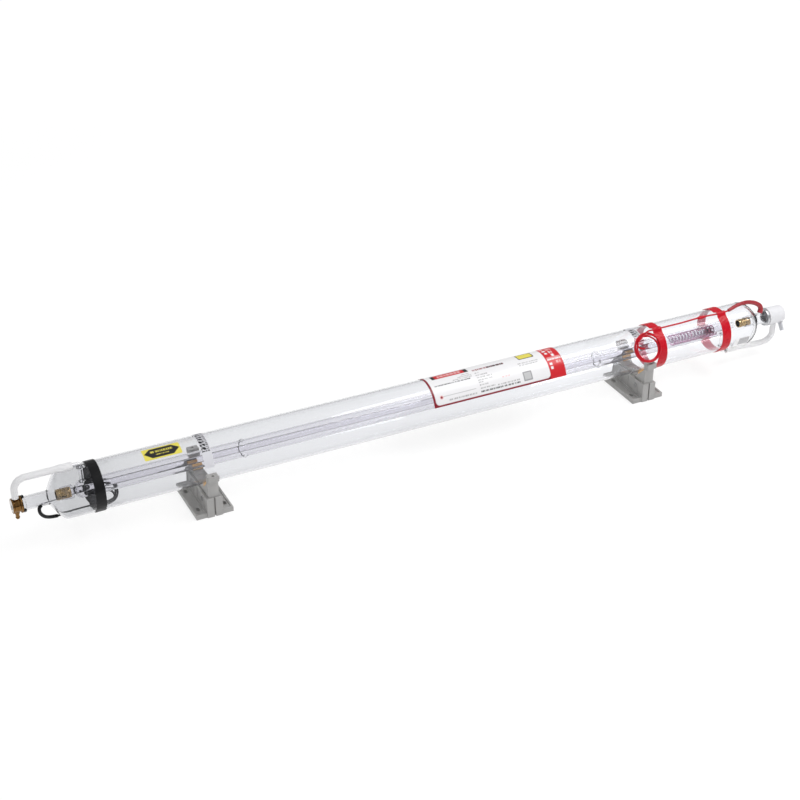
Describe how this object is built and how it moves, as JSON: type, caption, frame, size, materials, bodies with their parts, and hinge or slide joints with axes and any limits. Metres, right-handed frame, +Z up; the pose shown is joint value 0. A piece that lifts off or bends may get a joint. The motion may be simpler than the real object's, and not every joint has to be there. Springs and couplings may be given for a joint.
{
  "type": "co2 laser tube",
  "caption": "Sealed glass laser tube with water jacket, mirror mounts, hoses and high-voltage leads, lying in padded saddles that slide in split, bolt-down height-adjustable feet.",
  "frame": {"origin": "on the floor, below the middle of the tube's length and axis", "axes": "+X along the tube from the output mirror to the rear mirror, -Y is the front with the label, +Z up"},
  "size_m": [1.4538, 0.1076, 0.1326],
  "materials": {
    "clear_glass": "clear, polished",
    "electrode_metal": "drawn, bright",
    "pin_metal": "drawn wire",
    "head_brass": "turned",
    "mirror_coating": "coated, polished",
    "ring_steel": "turned",
    "white_plastic": "moulded, satin",
    "white_silicone": "translucent, satin",
    "black_tape": "satin",
    "red_tape": "glossy",
    "red_silicone": "satin",
    "black_cable": "satin",
    "white_label": "printed, satin",
    "yellow_label": "printed, satin",
    "grey_label": "printed, matt",
    "grey_plastic": "moulded, matt",
    "orange_rubber": "matt",
    "clamp_steel": "plated"
  },
  "bodies": {
    "tube": {"glass_envelope": "clear_glass", "water_jacket": "clear_glass", "discharge_bore": "clear_glass", "gas_return_coil": "clear_glass", "water_outlet_port": "clear_glass", "water_inlet_port": "clear_glass", "cathode": "electrode_metal", "anode": "electrode_metal", "cathode_pin": "pin_metal", "anode_pin": "pin_metal", "output_mirror_mount": "head_brass", "head_hose_barb": "head_brass", "head_water_nozzle": "head_brass", "output_mirror": "mirror_coating", "rear_mirror": "mirror_coating", "mirror_retaining_ring": "ring_steel", "rear_mirror_mount": "ring_steel", "rear_cap": "white_plastic", "outlet_hose": "white_silicone", "inlet_hose": "white_silicone", "black_tape_band": "black_tape", "red_tape_band_left": "red_tape", "red_tape_band_right": "red_tape", "anode_lead": "red_silicone", "anode_lead_coil": "red_silicone", "anode_lead_sleeve": "red_silicone", "lead_splice": "red_silicone", "cathode_lead": "black_cable", "cathode_lead_coil": "black_cable", "cathode_lead_sleeve": "black_cable", "data_label": "white_label", "arrow_label": "yellow_label", "support_strip_left": "grey_label", "support_strip_right": "grey_label", "rating_sticker": "grey_label", "cradle_left": "grey_plastic", "pad_front_left": "orange_rubber", "pad_back_left": "orange_rubber", "cradle_right": "grey_plastic", "pad_front_right": "orange_rubber", "pad_back_right": "orange_rubber"},
    "base_left": {"base_left": "grey_plastic", "clamp_bolt_front_left": "clamp_steel", "clamp_bolt_back_left": "clamp_steel", "clamp_nut_front_left": "clamp_steel", "clamp_nut_back_left": "clamp_steel"},
    "base_right": {"base_right": "grey_plastic", "clamp_bolt_front_right": "clamp_steel", "clamp_bolt_back_right": "clamp_steel", "clamp_nut_front_right": "clamp_steel", "clamp_nut_back_right": "clamp_steel"}
  },
  "joints": [
    {"name": "height_slide_left", "type": "slide", "parent": "tube", "child": "base_left", "axis": [0, 0, -1], "range_m": [0, 0.02]},
    {"name": "height_slide_right", "type": "slide", "parent": "tube", "child": "base_right", "axis": [0, 0, -1], "range_m": [0, 0.02]}
  ]
}
